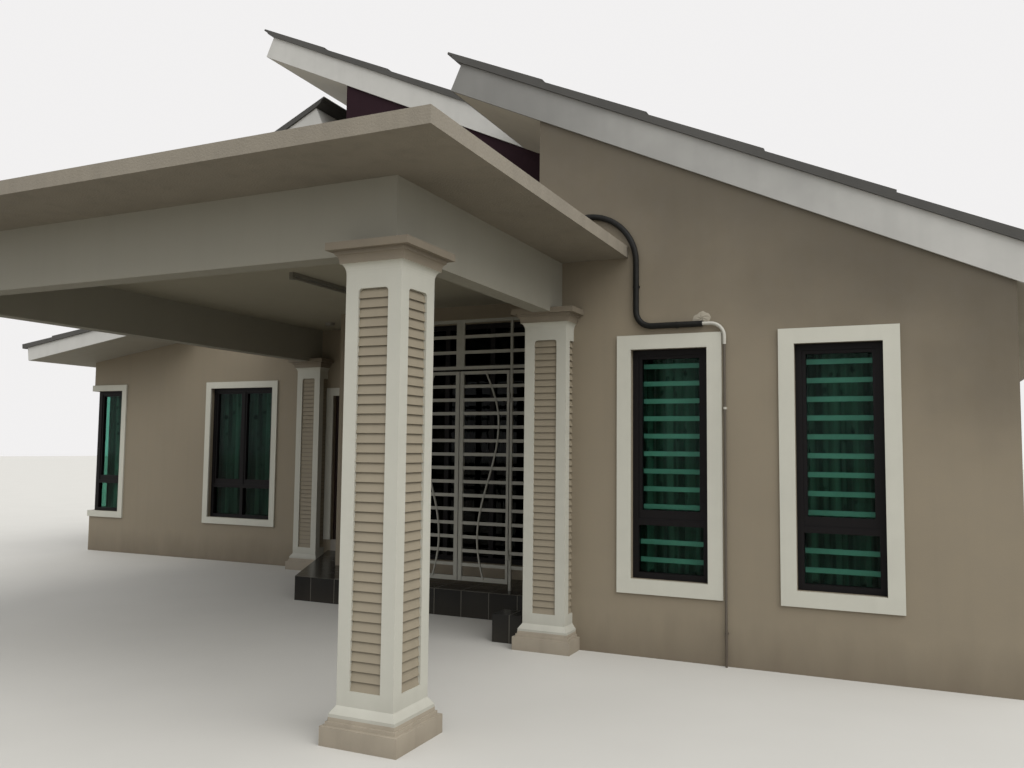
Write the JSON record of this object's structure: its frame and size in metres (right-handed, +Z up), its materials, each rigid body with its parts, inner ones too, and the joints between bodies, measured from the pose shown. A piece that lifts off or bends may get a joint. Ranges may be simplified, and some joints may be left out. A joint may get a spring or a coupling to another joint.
{
  "type": "bungalow",
  "caption": "Single-storey house with crossing shed roofs, a flat-roofed carport on cased columns, and a porch behind a barred steel gate.",
  "frame": {"origin": "on the ground at the foot of the hall's front wall, between the two wings", "axes": "+Z up, +Y to the back of the house, +X to the right seen from the front"},
  "size_m": [13.4966, 11.932, 6.9538],
  "materials": {
    "wall_paint": "matt painted render",
    "maroon_paint": "matt painted render",
    "grey_trim": "matt painted render",
    "white_render": "satin painted render",
    "ceiling_paint": "matt painted plaster",
    "lapped_board": "satin painted fibre cement boards",
    "floor_tile": "satin tile",
    "black_tile": "gloss tile",
    "roof_covering": "weathered dark grey covering",
    "white_board": "painted board",
    "soffit_board": "painted board",
    "dark_frame": "powder coated",
    "green_glass": "tinted",
    "dark_glass": "tinted",
    "painted_steel": "semi-gloss paint",
    "dark_timber": "varnished",
    "red_timber": "varnished",
    "steel_handle": "satin",
    "lamp_white": "satin",
    "foam_hose": "foam insulated hose with tape",
    "conduit_grey": "matt painted"
  },
  "bodies": {
    "house": {"right_front_wall": "wall_paint", "right_side_wall": "wall_paint", "right_return_wall": "wall_paint", "hall_front_wall": "wall_paint", "clerestory_walls": "maroon_paint", "left_front_wall": "wall_paint", "door_head_wall": "wall_paint", "left_side_wall": "wall_paint", "rear_wall": "wall_paint", "upper_left_walls": "wall_paint", "left_flat_roof": "grey_trim", "ground_floor": "floor_tile", "porch_platform": "black_tile", "front_window_trims": "white_render", "rear_window_trims": "white_render", "front_window_frames": "dark_frame", "rear_window_frames": "dark_frame", "front_window_glass": "green_glass", "rear_window_glass": "green_glass", "front_columns": "white_render", "wall_pilasters": "white_render", "column_siding": "lapped_board", "column_capitals": "grey_trim", "column_plinths": "grey_trim", "front_beam": "white_render", "side_beams": "white_render", "carport_slab": "grey_trim", "carport_ceiling": "ceiling_paint", "ceiling_lamps": "lamp_white", "wall_hose": "foam_hose", "wall_conduit": "conduit_grey", "main_roof_covering": "roof_covering", "main_roof_boards": "white_board", "main_roof_soffits": "soffit_board", "left_roof_coverings": "roof_covering", "left_roof_boards": "white_board", "left_roof_soffits": "soffit_board", "grille_right_panel": "painted_steel", "grille_left_panel": "painted_steel", "grille_head": "painted_steel", "grille_return": "painted_steel", "entry_frame": "dark_frame", "entry_glass": "dark_glass", "door_surround": "white_render", "door_jamb": "dark_timber"},
    "gate_right": {"gate_leaf_right": "painted_steel"},
    "gate_left": {"gate_leaf_left": "painted_steel"},
    "door": {"door_leaf": "red_timber", "door_handle": "steel_handle"}
  },
  "joints": [
    {"name": "gate_right_hinge", "type": "hinge", "parent": "house", "child": "gate_right", "pos_m": [1.4025, -0.702, 1.3], "axis": [0, 0, 1], "range_deg": [0, 100]},
    {"name": "gate_left_hinge", "type": "hinge", "parent": "house", "child": "gate_left", "pos_m": [0.2835, -0.702, 1.3], "axis": [0, 0, -1], "range_deg": [0, 100]},
    {"name": "door_hinge", "type": "hinge", "parent": "house", "child": "door", "pos_m": [-2.0195, 1.309, 1.3], "axis": [0, 0, 1], "range_deg": [0, 95]}
  ]
}
